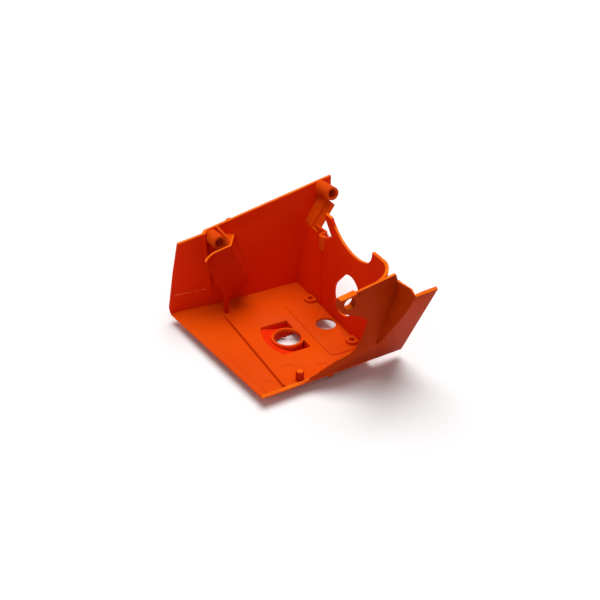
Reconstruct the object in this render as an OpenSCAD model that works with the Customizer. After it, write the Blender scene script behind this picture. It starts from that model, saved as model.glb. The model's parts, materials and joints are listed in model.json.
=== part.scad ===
// Small-engine air filter housing: one open-sided injection moulding.
// The origin is the middle of the intake collar, on the floor's inner face.
// +X runs along the back wall away from the open left side, +Y points out through the back wall,
// and +Z points up out of the open side. Everything is drawn from the inner corner where the floor,
// the back wall and the end wall meet, and then moved to the collar. Each wall is drawn flat and
// stood up in its own frame.

/* [Shell] */
// Wall thickness of the moulding
wall = 2; // [1.8:0.1:2.4]
// Length of the floor along the back wall
floor_length = 92.8; // [90:0.2:96]
// Depth of the floor where it meets the end wall
floor_depth = 100.6; // [98:0.2:104]
// Thickness of the floor
floor_t = 1.8; // [1.6:0.1:2.4]
// Distance the left free edge moves inward from back to front
left_edge_run = 15; // [11:0.5:18]
// Height of the rim plane above the origin
rim_height = 66.2; // [64:0.2:70]
// Slope of the rim plane along X, in degrees
rim_tilt = 11.5; // [9:0.5:14]

/* [Wall angles] */
// Outward lean of the back wall
back_lean = 6.4; // [3:0.2:9]
// Outward lean of the left part of the back wall
left_lean = 2.6; // [1:0.2:5]
// Turn of the left part of the back wall, seen from above
left_turn = 4.6; // [2:0.2:7]
// Outward lean of the end wall
end_lean = 2.7; // [1:0.1:4]
// Outward lean of the end wall beside the back wall
corner_lean = 10.5; // [8:0.5:12]
// Lean of the flared part above that corner
flare_lean = 33; // [28:1:38]
// Outward lean of the screw panel
panel_lean = 2.3; // [1:0.1:4]
// Outward lean of the wing
wing_lean = 29.2; // [26:0.2:32]
// Turn of the wing, seen from above
wing_turn = 3; // [2:0.2:4]

/* [Screw bosses] */
// Outer radius of the two bosses on the back wall
boss_r = 4.6; // [4.3:0.1:5.2]
// Bore radius of the two bosses
boss_bore_r = 3.1; // [2.8:0.1:3.4]
// Length of the left boss
left_boss_len = 13.5; // [12:0.5:16]
// Length of the right boss
right_boss_len = 16; // [14:0.5:18]
// Outer radius of the screw lug
lug_r = 7; // [6.5:0.1:7.5]
// Bore radius of the screw lug
screw_lug_r = 3.8; // [3:0.1:4]
// Length of the screw lug
lug_len = 5; // [4.5:0.5:7]

/* [Floor features] */
// Radius of the round floor hole
floor_hole_r = 6.6; // [5:0.1:7]
// Bore radius of the collar in the pocket
collar_bore_r = 8.85; // [8:0.05:9.2]
// Outer radius of the collar
collar_r = 10.6; // [10.2:0.1:11]
// Slope of the pocket's base
pocket_slope = 15; // [12:0.5:17]
// Height of the guide rib across the floor
guide_rib_h = 2; // [1.5:0.1:3]
// Height of the raised pad
pad_h = 0.5; // [0.4:0.1:0.8]
// Height of the two locating lugs
locator_h = 2.4; // [2:0.1:3]
// Bore radius of the locating lugs
locator_r = 1.8; // [1.4:0.1:2]

/* [End wall openings] */
// Radius of the oval opening's rounded ends
oval_r = 11.8; // [10.5:0.1:12.6]
// Distance of each rounded end from the middle of the opening
oval_reach = 5; // [3:0.1:6]
// Radius of the long sweep of the rim notch
notch_r = 42.8; // [41:0.2:44]
// Radius of the tight end of the rim notch
notch_end_r = 8.8; // [8:0.1:9.2]

/* [Hidden] */
$fn = 64;

big = 400;                                  // reach of the cutting half-spaces
eps = 0.02;
shell = [0.93, 0.30, 0.02];
inner = [0.80, 0.12, 0.02];

// The back wall's left part starts here.
jog_x = -63;
jog_w = 5;
left_wall_y = 0.3;

// Left free edge of the floor, from back to front.
edge_back = [-floor_length, 2.6];
edge_front = [-floor_length + left_edge_run, -floor_depth - (floor_length - left_edge_run) * tan(wing_turn)];
edge_angle = atan2(edge_back[1] - edge_front[1], edge_back[0] - edge_front[0]);
edge_len = norm(edge_back - edge_front);
lip_w = 6;
lip_t = 1.1;

guide_x = -62.4;
guide_w = 1.2;

// Pocket and collar.
pocket_left = -51.8;
pocket_right = -28.6;
pocket_back = -39.3;
pocket_near = -72.4;
pocket_end_r = 33;
collar_pos = [-36.7, -56.5];
pocket_drop = (pocket_right - pocket_left) * tan(pocket_slope);
skirt_depth = 6.3;
skirt_slant = 24;

// The oval opening and the notch of the end wall, as [distance along the wall, height].
oval_pos = [63.4, 24.3];
oval_tilt = 50;
notch_pos = [68, 97.6];
notch_end_pos = [77.6, 65.2];

catch_z = 49.8;

// The corner beside the back wall.
corner_top = 44;
corner_end = 23;
corner_foot = 34;
main_start = 27.5;
main_foot = 36;
flare_end = 12;
flare_top = 62;

// Moves the finished part from its drawing corner to the collar.
module from_collar() { translate([-collar_pos[0], -collar_pos[1], 0]) children(); }
// Frames: each stands a flat drawing up on one wall, with its Y axis up the wall.
module on_back() { rotate([90 - back_lean, 0, 0]) children(); }
module on_left() { translate([jog_x, left_wall_y, 0]) rotate([90 - left_lean, 0, -left_turn]) children(); }
module on_end() { rotate([90 - end_lean, 0, -90]) children(); }
module on_corner() { translate([0.3, 0, 0]) rotate([90 - corner_lean, 0, -90]) children(); }
module on_panel() { translate([0, -110.8, 0]) rotate([90 + panel_lean, 0, 0]) children(); }
module on_wing() { translate([0, -floor_depth, 0]) rotate([90 + wing_lean, 0, wing_turn]) children(); }

// Everything above the plane of the rim.
module above_rim() {
    translate([0, 0, rim_height]) rotate([0, -rim_tilt, 0]) translate([-big, -big, 0]) cube([2 * big, 2 * big, big]);
}
module under_rim() { difference() { children(); above_rim(); } }
module below(z) { translate([-big, -big, z - big]) cube([2 * big, 2 * big, big]); }
// Everything on the far side of a wall's inner face.
module beyond_back() { on_back() translate([-big, -big, -big]) cube([2 * big, 2 * big, big]); }
module beyond_end() { on_end() translate([-big, -big, -big]) cube([2 * big, 2 * big, big]); }
module beyond_wing() { on_wing() translate([-big, -big, -wall]) cube([2 * big, 2 * big, big]); }
module outside_wing() { on_wing() translate([-big, -big, 0]) cube([2 * big, 2 * big, big]); }
module outside_panel() { on_panel() translate([-big, -big, 0]) cube([2 * big, 2 * big, big]); }
module beyond_panel() { on_panel() translate([-big, -big, -wall]) cube([2 * big, 2 * big, big]); }

module plate(t) { translate([0, 0, -t]) linear_extrude(t) children(); }
module bore(pos, r) { translate([pos[0], pos[1], -big / 2]) cylinder(r = r, h = big); }

// ---- floor ----
module pocket_outline() {
    intersection() {
        translate([pocket_left, pocket_near]) square([pocket_right - pocket_left, pocket_back - pocket_near]);
        translate([pocket_left + pocket_end_r, (pocket_back + pocket_near) / 2]) circle(pocket_end_r, $fn = 128);
    }
}
module mark(pos, r, depth) { translate([pos[0], pos[1], -depth]) cylinder(r = r, h = 1); }

module floor_main() {
    color(shell) difference() {
        translate([0, 0, -floor_t]) linear_extrude(floor_t) difference() {
            polygon([[guide_x, wall], [wall, wall], [wall, -floor_depth - 8], [guide_x, -floor_depth - 8]]);
            difference() {
                pocket_outline();
                translate(collar_pos) circle(collar_bore_r);
            }
            translate(collar_pos) circle(collar_bore_r);
        }
        bore(floor_hole_pos, floor_hole_r);
        translate([floor_hole_pos[0], floor_hole_pos[1], -floor_t])
            cylinder(r1 = floor_hole_r + 1, r2 = floor_hole_r, h = 1);
        for (p = [[-31.2, -11], [-47.7, -10.8], [-51.2, -86], [-32.2, -94.4]]) mark(p, 4, 0.25);
        outside_wing();
    }
}

floor_hole_pos = [-7.6, -54.8];
module left_outline(inset) {
    polygon([edge_back + [inset, 0], [guide_x, wall], [guide_x, -floor_depth - 8], edge_front + [inset - 1, -6]]);
}
module floor_left() {
    color(shell) difference() {
        translate([0, 0, -floor_t]) linear_extrude(floor_t) left_outline(lip_w);
        for (p = [[-68.8, -20.4], [-69.1, -95.4]]) mark(p, 4, 0.25);
        outside_wing();
    }
}
module floor_lip() {
    color(shell) intersection() {
        difference() {
            translate([0, 0, -floor_t]) linear_extrude(floor_t) difference() {
                left_outline(0);
                left_outline(lip_w);
            }
            outside_wing();
        }
        translate([edge_front[0], edge_front[1], 0]) rotate([0, 0, edge_angle - 90])
            translate([0, edge_len + 20, 0]) rotate([90, 0, 0]) linear_extrude(edge_len + 40)
                polygon([[0, -floor_t], [0, -floor_t + lip_t], [lip_w, 0], [2 * lip_w, 0], [2 * lip_w, -floor_t]]);
    }
}
module floor_pad() {
    pad_w = 22;
    pad_back = -23.8;
    pad_near = -87.1;
    corner_r = 4;
    color(shell) difference() {
        linear_extrude(pad_h) union() {
            translate([-pad_w + corner_r, pad_near]) square([pad_w - corner_r, pad_back - pad_near]);
            translate([-pad_w, pad_near + corner_r]) square([pad_w, pad_back - pad_near - corner_r]);
            translate([-pad_w + corner_r, pad_near + corner_r]) circle(corner_r);
        }
        bore(floor_hole_pos, floor_hole_r);
        translate([0, 0, -eps]) linear_extrude(1) {
            locator_outline(-80);
            locator_outline(-25.6);
        }
        for (p = [[-5.1, -36.5], [-5.1, -72]]) mark(p, 3, -0.25);
    }
}
module guide_rib() {
    color(shell) difference() {
        translate([guide_x - guide_w / 2, -101.3, 0]) cube([guide_w, 101.3 - 16.2, guide_rib_h]);
        beyond_wing();
    }
}

// ---- pocket and collar ----
pocket_t = 1.6;
module collar_post(r) { translate([collar_pos[0], collar_pos[1], -30]) cylinder(r = r, h = 40); }
// The passage below the back of the collar stays open toward the end wall.
module collar_outlet() { translate([-36, collar_pos[1] + 1, -20]) cube([12, 10, 17]); }
module pocket_base() {
    color(shell) difference() {
        intersection() {
            translate([0, 0, -30]) linear_extrude(30) pocket_outline();
            translate([pocket_left, pocket_near, 0]) rotate([0, pocket_slope, 0])
                translate([-5, 0, -pocket_t]) cube([50, pocket_back - pocket_near, pocket_t]);
        }
        collar_post(collar_r);
        collar_outlet();
    }
}
// One side of the pocket, a wedge whose lower edge follows the sloping base.
module pocket_wedge() {
    start = pocket_left + 8;
    rotate([90, 0, 0]) linear_extrude(pocket_t)
        polygon([[start, -floor_t], [pocket_right, -floor_t], [pocket_right, -pocket_drop - pocket_t],
                 [start, -8 * tan(pocket_slope) - pocket_t]]);
}
module pocket_side_back() { color(shell) translate([0, pocket_back + pocket_t, 0]) pocket_wedge(); }
module pocket_side_near() { color(shell) translate([0, pocket_near, 0]) pocket_wedge(); }
module pocket_side_end() {
    color(shell) difference() {
        translate([pocket_right, pocket_near - pocket_t, -pocket_drop - pocket_t])
            cube([pocket_t, pocket_back - pocket_near + 2 * pocket_t, pocket_drop + pocket_t - floor_t]);
        collar_post(collar_bore_r + 0.4);
        collar_outlet();
    }
}
module collar() {
    color(shell) intersection() {
        translate([collar_pos[0], collar_pos[1], -floor_t]) difference() {
            cylinder(r = collar_r, h = floor_t);
            translate([0, 0, -1]) cylinder(r = collar_bore_r, h = floor_t + 2);
        }
        translate([0, 0, -10]) linear_extrude(20) pocket_outline();
    }
}
module collar_skirt() {
    color(inner) difference() {
        translate([collar_pos[0], collar_pos[1], -skirt_depth]) cylinder(r = collar_r, h = skirt_depth - floor_t);
        collar_post(collar_bore_r);
        translate([pocket_right, -big, -big]) cube([big, 2 * big, 2 * big]);
        translate([-30.4, collar_pos[1], 0]) rotate([0, skirt_slant, 0]) translate([0, 0, -20]) cube([20, 100, 40]);
    }
}

// ---- small floor features ----
module locator_outline(y) {
    translate([-3.1, y]) circle(4);
    translate([-3.1, y - 4]) square([3.1, 8]);
}
module locating_lug(y) {
    color(shell) difference() {
        linear_extrude(locator_h) locator_outline(y);
        translate([-3.1, y, -1]) cylinder(r = locator_r, h = 10);
        beyond_end();
    }
}
module locating_lug_back() { locating_lug(-25.6); }
module locating_lug_near() { locating_lug(-80); }
module floor_peg() {
    color(inner) translate([-50.6, -98.6, 0]) {
        cylinder(r = 2.5, h = 5.4);
        translate([0, 0, 5.4]) cylinder(r1 = 2.5, r2 = 1.9, h = 0.8);
    }
}
module underside_foot() { color(shell) translate([-28.9, -97.4, -floor_t - 3.8]) cylinder(r = 1.8, h = 3.8); }

// ---- back wall ----
back_right = 29.2;
boss_left = [-60.5, 49];
boss_right = [21.3, 66.2];
module back_wall() {
    color(shell) under_rim() on_back() difference() {
        plate(wall) polygon([[jog_x, 0], [0.3, 0], [9.5, corner_top + 1], [22, flare_top + 1], [back_right, flare_top + 3],
                             [back_right + 1.2, 90], [jog_x, 90]]);
        bore(boss_right, boss_bore_r);
        bore(boss_left, boss_bore_r);
    }
}
module back_wall_left() {
    color(shell) under_rim() difference() {
        on_left() plate(wall)
            polygon([[-jog_w, 0], [-24, 0], [-24, -floor_t], [-29.2, -floor_t], [-29.9, -0.6], [-30.4, 3.4],
                     [-26.2, 28], [-19.4, 60], [-jog_w, 70]]);
        floor_left();
        floor_lip();
    }
}
module back_wall_jog() {
    color(shell) under_rim() difference() {
        hull() {
            on_left() translate([-jog_w, 0, -wall]) cube([eps, 80, wall]);
            on_back() translate([jog_x - eps, 0, -wall]) cube([eps, 80, wall]);
        }
        below(0);
        on_back() bore(boss_left, boss_bore_r);
        on_back() translate([boss_left[0], boss_left[1], 0]) cylinder(r = boss_r, h = left_boss_len);
    }
}
module rim_nub() { color(shell) under_rim() on_back() translate([-48.6, 54, -wall - 1.5]) cube([3.2, 9, 1.5]); }

module boss(pos, len) {
    difference() {
        on_back() translate([pos[0], pos[1], 0]) cylinder(r = boss_r, h = len);
        on_back() bore(pos, boss_bore_r);
    }
}
module left_boss() { color(shell) boss(boss_left, left_boss_len); }
module right_boss() { color(shell) boss(boss_right, right_boss_len); }
module left_boss_rib() {
    rib_x = -57.1;
    rib_t = 1.5;
    rib_reach = -duct_y - duct_t;
    color(shell) under_rim() difference() {
        translate([rib_x + rib_t, 0, 0]) rotate([90, 0, -90]) linear_extrude(rib_t)
            polygon([[-10, 40], [-10, 60], [7, 60], [rib_reach, 50.3], [rib_reach, 48], [-2, 40]]);
        beyond_back();
        on_back() translate([boss_left[0], boss_left[1], -5]) cylinder(r = boss_r, h = left_boss_len + 5);
    }
}

// ---- duct in front of the back wall ----
duct_y = -14.5;
duct_t = 1.6;
duct_bend_r = 13;
duct_bend_x = -64.6;
module duct_plan() {
    translate([duct_bend_x, duct_y]) square([30, duct_t]);
    intersection() {
        translate([duct_bend_x, duct_y - duct_bend_r]) difference() {
            circle(duct_bend_r + duct_t, $fn = 96);
            circle(duct_bend_r, $fn = 96);
        }
        translate([duct_bend_x - 20, duct_y - duct_bend_r]) square([20, 40]);
    }
}
tongue_top = 13.5;
module duct_hood() {
    color(inner) intersection() {
        translate([0, 0, tongue_top]) linear_extrude(60) duct_plan();
        translate([0, 20, 0]) rotate([90, 0, 0]) linear_extrude(60)
            polygon([[-75.6, 46.2], [-55.6, 50.3], [-43.6, 20.3], [-50.2, 20.3], [-53.9, 19.6], [-56, 17.3],
                     [-57.1, tongue_top], [-61.2, tongue_top], [-70.8, 34.9]]);
    }
}
// The duct's foot: a tapering strip whose left side is turned back toward the wall.
module duct_tongue() {
    color(inner) intersection() {
        linear_extrude(tongue_top)
            polygon([[-56, duct_y], [-59.7, duct_y], [-61.7, duct_y + 1.4], [-60.9, duct_y + 2.6],
                     [-59.3, duct_y + duct_t], [-56, duct_y + duct_t]]);
        translate([0, 20, 0]) rotate([90, 0, 0]) linear_extrude(60)
            polygon([[-57.1, tongue_top], [-58.9, 0], [-62, 0], [-62, tongue_top]]);
    }
}
module duct_side() {
    color(inner) difference() {
        hull() {
            translate([-55.6, duct_y, 49]) cube([eps, duct_t, 1.2]);
            translate([-43.7, duct_y, 20.4]) cube([eps, duct_t, 0.6]);
            translate([-44.9, 7, 45]) cube([1.6, eps, 1.2]);
            translate([-37.8, 3, 9.6]) cube([1.6, eps, 0.6]);
        }
        beyond_back();
        translate([-100, duct_y, 0]) cube([100 - 55.6, duct_t, 60]);
        translate([0, duct_y + duct_t, 0]) rotate([90, 0, 0]) linear_extrude(duct_t)
            polygon([[-75.6, 46.2], [-55.6, 50.3], [-43.6, 20.3], [-53, 20.3]]);
    }
}
// A sloping three-cornered web that closes the top between the rib, the duct's side and the wall.
module duct_ledge() {
    color(shell) difference() {
        polyhedron(points = [[-55.6, duct_y + duct_t, 50], [-44.6, 8, 46.4], [-55.6, 8, 49.4],
                             [-55.6, duct_y + duct_t, 48.6], [-44.6, 8, 45], [-55.6, 8, 48]],
                   faces = [[0, 2, 1], [3, 4, 5], [0, 1, 4], [0, 4, 3], [1, 2, 5], [1, 5, 4], [2, 0, 3], [2, 3, 5]]);
        beyond_back();
        duct_side();
    }
}

// ---- end wall ----
module oval(r, reach) {
    translate(oval_pos) rotate(oval_tilt) {
        translate([-reach, 0]) circle(r);
        translate([reach, 0]) circle(r);
        translate([-reach, -r]) square([2 * reach, 2 * r]);
    }
}
module rim_notch() {
    intersection() {
        translate(notch_pos) circle(notch_r, $fn = 128);
        translate([38, 50]) square([notch_end_pos[0] - 38, 30]);
    }
    translate(notch_end_pos) circle(notch_end_r);
    translate([notch_end_pos[0] - 2, notch_end_pos[1]]) square([notch_end_r + 1, 20]);
}
module end_wall() {
    color(shell) under_rim() difference() {
        on_end() plate(wall) difference() {
            polygon([[main_foot, 0], [main_start, catch_z], [33.3, catch_z], [36.8, 52], [40.2, 55.2], [32, 62.8],
                     [30.1, 68], [30.1, 80], [near_end + 80 * tan(panel_lean), 80], [near_end, 0]]);
            oval(oval_r, oval_reach);
            rim_notch();
        }
        beyond_wing();
    }
}
module end_corner() {
    color(shell) difference() {
        on_corner() plate(wall) polygon([[-12, 0], [-12, corner_top / cos(corner_lean)], [flare_end, corner_top / cos(corner_lean)],
                                         [flare_end, 47], [corner_end, 47.6], [corner_foot, 0]]);
        beyond_back();
    }
}
module end_jog() {
    color(shell) hull() {
        on_corner() translate([corner_foot, 0, -wall]) cube([eps, eps, wall]);
        on_corner() translate([corner_end, 47.4, -wall]) cube([eps, 0.2, wall]);
        on_end() translate([main_foot - eps, 0, -wall]) cube([eps, eps, wall]);
        on_end() translate([main_start - eps, catch_z - 0.2, -wall]) cube([eps, 0.2, wall]);
    }
}
module on_flare() {
    on_corner() translate([0, corner_top / cos(corner_lean), 0]) rotate([corner_lean - flare_lean, 0, 0]) children();
}
flare_t = 1.4;
flare_step = 1;
flare_split = 4.2;
module flare_cuts() {
    beyond_back();
    on_back() translate([boss_right[0], boss_right[1], -5]) cylinder(r = boss_r, h = right_boss_len + 5);
    on_corner() translate([-20, -1, -wall]) cube([60, corner_top / cos(corner_lean) + 1, wall + 2]);
}
module flare_back() {
    color(shell) difference() {
        on_flare() translate([0, 0, -wall]) linear_extrude(wall)
            polygon([[-14, 0.6], [-14, 21.4], [flare_split, 21.4], [flare_split, 0.6]]);
        flare_cuts();
    }
}
module flare_front() {
    color(shell) difference() {
        on_flare() translate([0, 0, -flare_step - flare_t]) linear_extrude(flare_t)
            polygon([[flare_split, 0.6], [flare_split, 21.2], [11.2, 21.2], [11.2, 4], [9.5, 0.6]]);
        flare_cuts();
    }
}
// A low rib that runs from the flare toward the rim slot.
module catch_rib() {
    color(shell) difference() {
        hull() {
            translate([9.8, -6.3, 44]) cube([1.5, eps, 2.6]);
            translate([7.4, -24.6, 47.4]) cube([1.5, eps, 2.6]);
        }
        end_corner();
        end_jog();
        flare_back();
        flare_front();
    }
}
catch_pos = [4.8, -29.3];
catch_r = 4.2;
catch_bore_r = 2.6;
catch_arm = 2.3;
catch_foot = 41;
catch_top = 50.6;
// A hook-shaped lip beside the slot, open toward the outside. It grows out of the end wall's inner face.
module catch_hook() {
    color(shell) difference() {
        translate([catch_pos[0], catch_pos[1], catch_foot]) linear_extrude(catch_top - catch_foot) difference() {
            union() {
                difference() {
                    circle(catch_r);
                    translate([0, -big]) square([big, 2 * big]);
                }
                translate([0, -catch_r]) square([catch_arm, 2 * catch_r]);
            }
            circle(catch_bore_r);
            translate([0, -catch_bore_r]) square([big, 2 * catch_bore_r]);
        }
        on_end() translate([0, 0, -big]) cube([big, catch_z, big]);
    }
}

// ---- near side ----
corner_r = 15;
near_end = 110.8 - wall - corner_r;
module near_corner() {
    color(shell) under_rim() difference() {
        translate([-corner_r, -near_end, 0]) rotate([panel_lean, end_lean, 0]) difference() {
            translate([0, 0, -2]) cylinder(r = corner_r + wall, h = 90);
            translate([0, 0, -3]) cylinder(r = corner_r, h = 92);
            translate([-30, 0, -5]) cube([60, 40, 100]);
            translate([-40, -40, -5]) cube([40, 80, 100]);
        }
        beyond_wing();
        beyond_panel();
        below(0);
    }
}
lug_pos = [-28, 55.8];
lug_proud = 1.2;
module screw_panel() {
    color(shell) under_rim() difference() {
        on_panel() difference() {
            plate(wall)
                polygon([[-20, 15], [-20, 19], [-17.6, 23.3], [-15.8, 27], [-14, 32.6], [-13.3, 36.5], [-14.2, 39.9],
                         [-16, 41.8], [-19.4, 43.5], [-26.3, 46.6], [-31, 49.2], [lug_pos[0], lug_pos[1]],
                         [lug_pos[0], 80], [1.2, 74], [2.4, 67], [4.5, 61], [4, 55.1], [2.1, 48.1], [-3.4, 30.3],
                         [-7.4, 17], [-7.4, 15]]);
            bore(lug_pos, lug_r);
        }
        beyond_wing();
    }
}
module screw_lug() {
    color(shell) under_rim() on_panel() difference() {
        translate([lug_pos[0], lug_pos[1], lug_proud - lug_len]) cylinder(r = lug_r, h = lug_len);
        bore(lug_pos, screw_lug_r);
    }
}
seam_x = -6.4;
module near_wall() {
    color(shell) difference() {
        on_wing() plate(wall)
            polygon([[-79, -3], [-79, 0], [-50.6, 0], [-46.5, 1.2], [-40.6, 4.5], [-35.4, 9.6], [-30, 14.7], [-26.8, 16.6],
                     [-23.2, 18.6], [-20, 22], [-19, 28], [seam_x, 28], [seam_x, -3]]);
        below(0);
        outside_panel();
    }
}
module wing() {
    color(shell) under_rim() difference() {
        on_wing() plate(wall)
            polygon([[seam_x, -3], [seam_x, 21.4], [-4.3, 28.4], [-2.7, 38.9], [-1.2, 49], [-1, 62], [-2.3, 75.6],
                     [12.4, 76.6], [22.6, -2.1], [22.6, -3]]);
        below(-floor_t);
        translate([-big, -big, -big]) cube([big + wall, 2 * big, big]);
    }
}
// The web is a ruled surface between its fold with the panel and its fold with the wing.
web_panel_fold = [[-7.4, -111.5, 17.6], [3.2, -112.9, 52], [4.5, -113.2, 61]];
web_wing_fold = [[-5.4, -112, 20.6], [-3.4, -115.3, 25.8], [-1.5, -120.2, 34.6], [0, -125.4, 44], [0.4, -131.6, 55],
                 [-0.9, -138.6, 67], [-1.3, -140.4, 70]];
module near_web() {
    n = len(web_wing_fold);
    m = n - 1;
    into = [0.3, 3.5, 0];
    t = [2, 0, -0.4];
    thin = 0.25;
    foot = web_panel_fold[0];
    crease = web_panel_fold[1];
    near = concat([for (i = [0:n - 2]) foot + (crease - foot) * i / (n - 2)], [web_panel_fold[2]]);
    // Six rows run up the web: the panel side and the front, then the same three on the rear.
    rows = [[for (p = near) p + into], near, web_wing_fold,
            [for (i = [0:m]) web_wing_fold[i] + t * (i < n - 2 ? 1 : thin)], [for (p = near) p + t],
            [for (p = near) p + into + t]];
    count = len(rows);
    sides = [for (k = [0:count - 1], i = [0:m - 1]) let (a = k * n + i, b = ((k + 1) % count) * n + i)
             each [[a + 1, b, a], [a + 1, b + 1, b]]];
    bottom = [[4 * n, 5 * n, 0], [n, 4 * n, 0], [3 * n, 4 * n, n], [2 * n, 3 * n, n]];
    top = [for (f = bottom) [f[2] + m, f[1] + m, f[0] + m]];
    color(shell) under_rim() difference() {
        polyhedron(points = [for (r = rows, p = r) p], faces = concat(sides, bottom, top));
        beyond_wing();
        on_panel() translate([-big, -big, -wall - big]) cube([2 * big, 2 * big, big]);
    }
}

from_collar() floor_main();
from_collar() floor_left();
from_collar() floor_lip();
from_collar() floor_pad();
from_collar() guide_rib();
from_collar() pocket_base();
from_collar() pocket_side_back();
from_collar() pocket_side_end();
from_collar() pocket_side_near();
from_collar() collar();
from_collar() collar_skirt();
from_collar() locating_lug_back();
from_collar() locating_lug_near();
from_collar() floor_peg();
from_collar() underside_foot();
from_collar() back_wall();
from_collar() back_wall_left();
from_collar() back_wall_jog();
from_collar() rim_nub();
from_collar() left_boss();
from_collar() right_boss();
from_collar() left_boss_rib();
from_collar() duct_hood();
from_collar() duct_tongue();
from_collar() duct_side();
from_collar() duct_ledge();
from_collar() end_wall();
from_collar() end_corner();
from_collar() end_jog();
from_collar() flare_back();
from_collar() flare_front();
from_collar() catch_rib();
from_collar() catch_hook();
from_collar() near_corner();
from_collar() screw_panel();
from_collar() screw_lug();
from_collar() near_web();
from_collar() near_wall();
from_collar() wing();
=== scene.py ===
"""Looks for the air filter housing: one orange injection moulding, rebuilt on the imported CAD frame.

Each CAD node is redrawn as a moulded piece of the same shape whose outside edges are rounded. An edge
where two nodes meet stays sharp, so that the pieces still read as one moulding. Lengths are in metres.
"""

import json
import math

import bmesh
import bpy
from mathutils import Matrix, Vector
from mathutils.bvhtree import BVHTree


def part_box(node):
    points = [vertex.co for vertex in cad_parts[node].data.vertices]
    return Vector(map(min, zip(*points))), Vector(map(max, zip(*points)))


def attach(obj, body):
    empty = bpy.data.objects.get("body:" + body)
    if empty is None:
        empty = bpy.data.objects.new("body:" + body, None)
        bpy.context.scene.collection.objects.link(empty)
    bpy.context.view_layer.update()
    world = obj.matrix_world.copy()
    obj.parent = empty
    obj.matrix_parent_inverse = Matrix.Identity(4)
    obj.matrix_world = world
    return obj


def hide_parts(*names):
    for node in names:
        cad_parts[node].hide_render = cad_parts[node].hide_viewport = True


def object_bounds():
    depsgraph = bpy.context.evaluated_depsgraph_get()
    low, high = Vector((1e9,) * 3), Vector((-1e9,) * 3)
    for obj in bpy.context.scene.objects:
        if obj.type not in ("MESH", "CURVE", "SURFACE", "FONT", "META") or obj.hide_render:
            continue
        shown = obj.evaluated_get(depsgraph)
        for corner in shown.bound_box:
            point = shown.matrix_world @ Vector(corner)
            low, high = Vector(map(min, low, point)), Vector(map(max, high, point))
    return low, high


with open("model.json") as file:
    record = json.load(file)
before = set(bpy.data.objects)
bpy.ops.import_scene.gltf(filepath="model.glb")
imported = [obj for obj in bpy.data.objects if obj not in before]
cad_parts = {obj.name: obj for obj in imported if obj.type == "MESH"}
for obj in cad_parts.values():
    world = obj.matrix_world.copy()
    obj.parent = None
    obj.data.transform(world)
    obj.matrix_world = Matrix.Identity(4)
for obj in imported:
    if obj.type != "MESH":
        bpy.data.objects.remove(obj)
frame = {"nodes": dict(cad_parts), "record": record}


def box_lists():
    """The bounds of everything that belongs to the object, as plain lists."""
    return [[float(c) for c in corner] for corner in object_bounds()]


cad_bounds = box_lists()

MM = 0.001

# Moulded pieces. An edge that turns less than SHARP_ANGLE isn't rounded, and one that turns less than
# SMOOTH_ANGLE is shaded smooth. A rim is a face whose normal's Z is over RIM_FACING; rims get a painted
# highlight.
WELD = 0.002 * MM
DISSOLVE_ANGLE = math.radians(0.3)
EDGE_ROUND = 0.38 * MM
EDGE_SEGMENTS = 3
SHARP_ANGLE = math.radians(28)
SMOOTH_ANGLE = math.radians(35)
RIM_FACING = 0.8

# The test for open air beside an edge: where along it, how far in over the face and how far off the face.
EDGE_SHARES = (0.15, 0.5, 0.85)
PROBE_IN = 0.25 * MM
PROBE_OUT = 0.06 * MM
NEIGHBOUR_GAP = 1 * MM
RAY_DIRECTION = Vector((0.5213, 0.3187, 0.7915)).normalized()
RAY_STEP = 0.001 * MM
RAY_CROSSINGS = 32

# Dark, middle and light tones, linear. The moulding is one plastic throughout: the floor, walls, duct and
# near side have tones of their own only to copy the shading in the photograph.
FLOOR_TONES = ((0.64, 0.042, 0.0002), (0.74, 0.062, 0.0003), (0.79, 0.076, 0.0004))
WALL_SHADE_TONES = ((0.68, 0.016, 0.0002), (0.78, 0.023, 0.0002), (0.82, 0.029, 0.0003))
DUCT_SHADE_TONES = ((0.46, 0.008, 0.0001), (0.54, 0.012, 0.0001), (0.60, 0.017, 0.0002))
NEAR_SHADE_TONES = ((0.33, 0.018, 0.0003), (0.39, 0.024, 0.0005), (0.45, 0.032, 0.0007))
# Light tones for rims that look up: a painted highlight.
RIM_HIGHLIGHT_TONES = ((0.82, 0.085, 0.0006), (0.92, 0.130, 0.001), (0.98, 0.190, 0.002))

# The plastic's surface. Noise scales are features per metre, and each range is of noise values.
PLASTIC_ROUGHNESS = (0.48, 0.6)
EDGE_ROUGHNESS = (0.44, 0.62)
SPECULAR_LEVEL = 0.22
PLASTIC_IOR = 1.2
FLOW_SCALE = 28
FLOW_RANGE = (0.3, 0.7)
FLOW_BUMP = {"distance": 0.5 * MM, "strength": 0.12}
GRAIN_SCALE = 2600
GRAIN_BUMP = {"distance": 0.03 * MM, "strength": 0.35}
CLOUD_SCALE = 17
CLOUD_RANGE = (0.32, 0.68)
RIM_PATCH_SCALE = 95
RIM_PATCH_RANGE = (0.42, 0.66)
FLECK_SCALE = 420
FLECK_RANGE = (0.6, 0.74)
FLECK_SHARE = 0.3

# The thin pale line on the inner face of the back wall's left part. The facing limits are a range of the
# normal's Y.
PALE_LINE = (0.9, 0.30, 0.09)
PALE_LINE_HEIGHT = 12.5 * MM
PALE_LINE_WANDER = 1.2 * MM
PALE_LINE_WANDER_SCALE = 60
PALE_LINE_EDGE = (0.06 * MM, 0.32 * MM)
PALE_LINE_BREAK_SCALE = 330
PALE_LINE_BREAK_RANGE = (0.42, 0.56)
PALE_LINE_FACING = (-0.5, 0)
PALE_LINE_SHARE = 0.7

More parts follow.
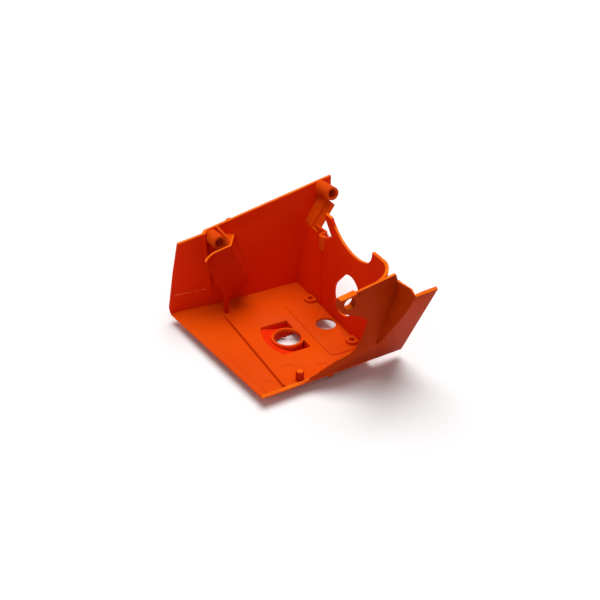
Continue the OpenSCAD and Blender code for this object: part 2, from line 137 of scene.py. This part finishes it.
# Ground, light and camera.
GROUND_SIZE = 30
BACKDROP = (0.95, 0.95, 0.95)
BACKDROP_SHADE = tuple(c * 0.99 for c in BACKDROP)
BACKDROP_SCALE = 3
BACKDROP_ROUGHNESS = 0.9
BACKDROP_SPECULAR = 0.1
SUNS = {
    "key": {"direction": (0.12, 0.2, 1), "strength": 2.6, "spread": 50},
    "fill": {"direction": (-0.6, -0.8, 1), "strength": 0.2, "spread": 80},
}
WORLD_COLOUR = (1, 1, 1, 1)
WORLD_STRENGTH = 0.24
FOCAL_MM = 54
SENSOR_MM = 36
CLIP_START = 0.01
CAMERA_AT = (-0.2226, -0.4149, 0.3298)
CAMERA_RIGHT = (0.87954, -0.47541, 0.01964)
CAMERA_UP = (0.24197, 0.48245, 0.84184)


# ---- materials ----
class Nodes:
    """Builds one material's node tree with short calls."""

    def __init__(self, name):
        self.material = bpy.data.materials.new(name)
        self.material.use_nodes = True
        self.tree = self.material.node_tree
        self.shader = self.tree.nodes["Principled BSDF"]
        self.place = self.add("ShaderNodeTexCoord").outputs["Object"]

    def add(self, kind, **settings):
        node = self.tree.nodes.new(kind)
        for name, value in settings.items():
            setattr(node, name, value)
        return node

    def link(self, source, target):
        self.tree.links.new(source, target)

    def noise(self, scale, detail=3, roughness=0.55):
        node = self.add("ShaderNodeTexNoise")
        node.inputs["Scale"].default_value = scale
        node.inputs["Detail"].default_value = detail
        node.inputs["Roughness"].default_value = roughness
        self.link(self.place, node.inputs["Vector"])
        return node.outputs["Fac"]

    def part(self, vector, axis):
        node = self.add("ShaderNodeSeparateXYZ")
        self.link(vector, node.inputs["Vector"])
        return node.outputs[axis]

    def spread(self, source, low, high, to_low=0.0, to_high=1.0):
        node = self.add("ShaderNodeMapRange", interpolation_type="SMOOTHSTEP")
        ends = {"From Min": low, "From Max": high, "To Min": to_low, "To Max": to_high}
        for name, value in ends.items():
            node.inputs[name].default_value = value
        self.link(source, node.inputs["Value"])
        return node.outputs["Result"]

    def compute(self, operation, first, second=0.0):
        node = self.add("ShaderNodeMath", operation=operation)
        for socket, value in zip(node.inputs, (first, second)):
            if isinstance(value, (int, float)):
                socket.default_value = value
            else:
                self.link(value, socket)
        return node.outputs["Value"]

    def mix(self, factor, first, second):
        node = self.add("ShaderNodeMix", data_type="RGBA")
        self.link(factor, node.inputs["Factor"])
        for name, value in (("A", first), ("B", second)):
            socket = next(s for s in node.inputs if s.name == name and s.type == "RGBA")
            if isinstance(value, tuple):
                socket.default_value = (*value, 1)
            else:
                self.link(value, socket)
        return next(s for s in node.outputs if s.type == "RGBA")

    def bump(self, height, distance, strength, normal=None):
        node = self.add("ShaderNodeBump")
        node.inputs["Distance"].default_value = distance
        node.inputs["Strength"].default_value = strength
        self.link(height, node.inputs["Height"])
        if normal is not None:
            self.link(normal, node.inputs["Normal"])
        return node.outputs["Normal"]


def finish_plastic(nodes, colour, roughness=PLASTIC_ROUGHNESS):
    """The satin, finely textured surface that all the plastic shares."""
    inputs = nodes.shader.inputs
    flow = nodes.noise(FLOW_SCALE, detail=4)
    grain = nodes.noise(GRAIN_SCALE, detail=2, roughness=0.6)
    nodes.link(colour, inputs["Base Color"])
    nodes.link(nodes.spread(flow, *FLOW_RANGE, *roughness), inputs["Roughness"])
    waves = nodes.bump(flow, **FLOW_BUMP)
    nodes.link(nodes.bump(grain, **GRAIN_BUMP, normal=waves), inputs["Normal"])
    inputs["Specular IOR Level"].default_value = SPECULAR_LEVEL
    inputs["IOR"].default_value = PLASTIC_IOR
    return nodes.material


def clouded(nodes, tones, scale=CLOUD_SCALE, limits=CLOUD_RANGE):
    """A colour that drifts between the middle and light tones, flecked with the dark one."""
    dark, middle, light = tones
    cloud = nodes.spread(nodes.noise(scale, detail=4), *limits)
    fleck = nodes.spread(nodes.noise(FLECK_SCALE, detail=2), *FLECK_RANGE)
    colour = nodes.mix(cloud, middle, light)
    return nodes.mix(nodes.compute("MULTIPLY", fleck, FLECK_SHARE), colour, dark)


def plastic(name, tones):
    nodes = Nodes(name)
    return finish_plastic(nodes, clouded(nodes, tones))


def painted_rim_highlight():
    """The rims that face up, painted a little lighter as a highlight, with lighter and duller patches."""
    nodes = Nodes("painted_rim_highlight")
    return finish_plastic(nodes, clouded(nodes, RIM_HIGHLIGHT_TONES, RIM_PATCH_SCALE, RIM_PATCH_RANGE), EDGE_ROUGHNESS)


def pale_lined_plastic():
    """The back wall's left part, with the thin pale line that runs above the floor on its inner face."""
    nodes = Nodes("pale_lined_plastic")
    height = nodes.part(nodes.place, "Z")
    facing = nodes.part(nodes.add("ShaderNodeNewGeometry").outputs["Normal"], "Y")
    drift = nodes.compute("SUBTRACT", nodes.noise(PALE_LINE_WANDER_SCALE, detail=2), 0.5)
    wander = nodes.compute("MULTIPLY", drift, PALE_LINE_WANDER)
    off_line = nodes.compute("SUBTRACT", nodes.compute("ADD", height, wander), PALE_LINE_HEIGHT)
    line = nodes.spread(nodes.compute("ABSOLUTE", off_line), *PALE_LINE_EDGE, 1.0, 0.0)
    broken = nodes.spread(nodes.noise(PALE_LINE_BREAK_SCALE, detail=2), *PALE_LINE_BREAK_RANGE)
    inner_face = nodes.spread(facing, *PALE_LINE_FACING, 1.0, 0.0)
    broken_line = nodes.compute("MULTIPLY", line, broken)
    pale_line = nodes.compute("MULTIPLY", broken_line, nodes.compute("MULTIPLY", inner_face, PALE_LINE_SHARE))
    return finish_plastic(nodes, nodes.mix(pale_line, clouded(nodes, WALL_SHADE_TONES), PALE_LINE))


def backdrop_paper():
    nodes = Nodes("backdrop_paper")
    inputs = nodes.shader.inputs
    cloud = nodes.noise(BACKDROP_SCALE, detail=2)
    nodes.link(nodes.mix(cloud, BACKDROP, BACKDROP_SHADE), inputs["Base Color"])
    inputs["Roughness"].default_value = BACKDROP_ROUGHNESS
    inputs["Specular IOR Level"].default_value = BACKDROP_SPECULAR
    return nodes.material


# ---- moulded pieces ----
def welded(node):
    """A clean copy of a CAD node's mesh: split vertices are joined and flat faces made whole."""
    mesh = bmesh.new()
    mesh.from_mesh(node.data)
    bmesh.ops.remove_doubles(mesh, verts=mesh.verts, dist=WELD)
    bmesh.ops.dissolve_degenerate(mesh, edges=mesh.edges, dist=WELD)
    bmesh.ops.dissolve_limit(mesh, angle_limit=DISSOLVE_ANGLE, verts=mesh.verts, edges=mesh.edges)
    return mesh


def solid_tree(node):
    """A search tree of a CAD node's own faces."""
    mesh = bmesh.new()
    mesh.from_mesh(node.data)
    tree = BVHTree.FromBMesh(mesh)
    mesh.free()
    return tree


def inside(tree, point):
    """True where a ray from the point leaves the solid through an odd number of faces."""
    start, crossings = point.copy(), 0
    for _ in range(RAY_CROSSINGS):
        hit = tree.ray_cast(start, RAY_DIRECTION)[0]
        if hit is None:
            break
        crossings += 1
        start = hit + RAY_DIRECTION * RAY_STEP
    return crossings % 2 == 1


def exposed(edge, neighbours):
    """True where both faces beside a convex edge are open to the air."""
    if len(edge.link_faces) != 2 or not edge.is_convex:
        return False
    first, second = edge.link_faces
    if first.normal.angle(second.normal, 0) < SHARP_ANGLE:
        return False
    start, end = (vertex.co for vertex in edge.verts)
    along = (end - start).normalized()
    middle = (start + end) / 2
    for face in (first, second):
        into = face.normal.cross(along)
        if into.dot(face.calc_center_median() - middle) < 0:
            into = -into
        for share in EDGE_SHARES:
            probe = start.lerp(end, share) + into * PROBE_IN + face.normal * PROBE_OUT
            if any(inside(tree, probe) for tree in neighbours):
                return False
    return True


def near_trees(name, solids):
    """The search trees of the other nodes whose boxes come near this node's box."""
    low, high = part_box(name)
    return [tree for other, (tree, other_low, other_high) in solids.items()
            if other != name and all(other_low[i] < high[i] + NEIGHBOUR_GAP
                                     and other_high[i] > low[i] - NEIGHBOUR_GAP for i in range(3))]


def moulded(name, solids, materials):
    """The visible piece that stands for one CAD node."""
    mesh = welded(frame["nodes"][name])
    weight = mesh.edges.layers.float.new("bevel_weight_edge")
    neighbours = near_trees(name, solids)
    for edge in mesh.edges:
        edge[weight] = 1.0 if exposed(edge, neighbours) else 0.0
    data = bpy.data.meshes.new("moulded_" + name)
    mesh.to_mesh(data)
    mesh.free()
    piece = bpy.data.objects.new("moulded_" + name, data)
    bpy.context.scene.collection.objects.link(piece)
    for material in materials:
        data.materials.append(material)
    data.shade_smooth()
    bevel = piece.modifiers.new("rounding", "BEVEL")
    bevel.limit_method = "WEIGHT"
    bevel.width = EDGE_ROUND
    bevel.segments = EDGE_SEGMENTS
    bevel.use_clamp_overlap = True
    bevel.miter_outer = "MITER_SHARP"
    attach(piece, "root")
    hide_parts(name)
    return piece


def finish_mesh(piece):
    """Fixes the rounding into the mesh, shades it by angle and gives upward rims the second material, a
    painted highlight.
    """
    graph = bpy.context.evaluated_depsgraph_get()
    data = bpy.data.meshes.new_from_object(piece.evaluated_get(graph), depsgraph=graph)
    data.name = piece.name
    piece.modifiers.clear()
    piece.data = data
    data.set_sharp_from_angle(angle=SMOOTH_ANGLE)
    for face in data.polygons:
        face.material_index = 1 if face.normal.z > RIM_FACING else 0


# The pocket's pieces take the walls' painted shade, darker and redder than the floor.
POCKET_NODES = {"pocket_base", "pocket_side_back", "pocket_side_end", "pocket_side_near"}
WALL_NODES = POCKET_NODES | {
    "back_wall", "back_wall_jog", "end_wall", "end_corner", "end_jog", "near_corner"}
NEAR_NODES = {"screw_panel", "screw_lug", "near_web", "near_wall", "wing"}

# Copies of the one plastic: the walls', duct's and near side's tones are painted shade.
floor_plastic = plastic("floor_plastic", FLOOR_TONES)
wall_shade_plastic = plastic("wall_shade_plastic", WALL_SHADE_TONES)
duct_shade_plastic = plastic("duct_shade_plastic", DUCT_SHADE_TONES)
near_shade_plastic = plastic("near_shade_plastic", NEAR_SHADE_TONES)
left_wall_plastic = pale_lined_plastic()
rim_highlight_plastic = painted_rim_highlight()


def plastic_for(name, slot):
    """The tone of the plastic in the piece's region, painted shade everywhere but on the floor: everything
    not listed has the floor's.
    """
    if name == "back_wall_left":
        return left_wall_plastic
    if slot == "inner_plastic":
        return duct_shade_plastic
    if name in WALL_NODES:
        return wall_shade_plastic
    return near_shade_plastic if name in NEAR_NODES else floor_plastic


slots = {part["node"]: part["material_slot"] for part in frame["record"]["subparts"]}
all_solids = {name: (solid_tree(node), *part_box(name)) for name, node in frame["nodes"].items()}
for name in sorted(frame["nodes"]):
    main = plastic_for(name, slots[name])
    # Faces that look up get the painted rim highlight, except on the floor's and the pocket's pieces.
    has_rim = main is not floor_plastic and name not in POCKET_NODES
    piece = moulded(name, all_solids, [main, rim_highlight_plastic if has_rim else main])
    finish_mesh(piece)


# ---- ground, light and camera ----
def ground():
    lowest = cad_bounds[0][2]
    bpy.ops.mesh.primitive_plane_add(size=GROUND_SIZE, location=(0, 0, lowest))
    floor = bpy.context.object
    floor.name = "floor"
    floor.data.materials.append(backdrop_paper())


def soft_sun(name, direction, strength, spread):
    """A sun that shines from a direction, its spread in degrees."""
    light = bpy.data.lights.new(name, "SUN")
    light.energy = strength
    light.angle = math.radians(spread)
    lamp = bpy.data.objects.new(name, light)
    lamp.rotation_euler = Vector(direction).to_track_quat("Z", "Y").to_euler()
    bpy.context.scene.collection.objects.link(lamp)


def studio():
    for name, sun in SUNS.items():
        soft_sun(name, **sun)
    world = bpy.data.worlds.new("studio")
    world.use_nodes = True
    backdrop = world.node_tree.nodes["Background"]
    backdrop.inputs["Color"].default_value = WORLD_COLOUR
    backdrop.inputs["Strength"].default_value = WORLD_STRENGTH
    bpy.context.scene.world = world


def photo_camera():
    """The camera as fitted to the photograph: where it stands, and its right and up directions."""
    data = bpy.data.cameras.new("camera")
    data.lens = FOCAL_MM
    data.sensor_width = SENSOR_MM
    data.clip_start = CLIP_START
    camera = bpy.data.objects.new("camera", data)
    right, up = Vector(CAMERA_RIGHT).normalized(), Vector(CAMERA_UP)
    back = right.cross(up).normalized()
    up = back.cross(right)
    turn = Matrix((right, up, back)).transposed()
    camera.matrix_world = Matrix.Translation(CAMERA_AT) @ turn.to_4x4()
    bpy.context.scene.collection.objects.link(camera)
    bpy.context.scene.camera = camera


ground()
studio()
photo_camera()
bpy.context.scene.view_settings.view_transform = "Standard"
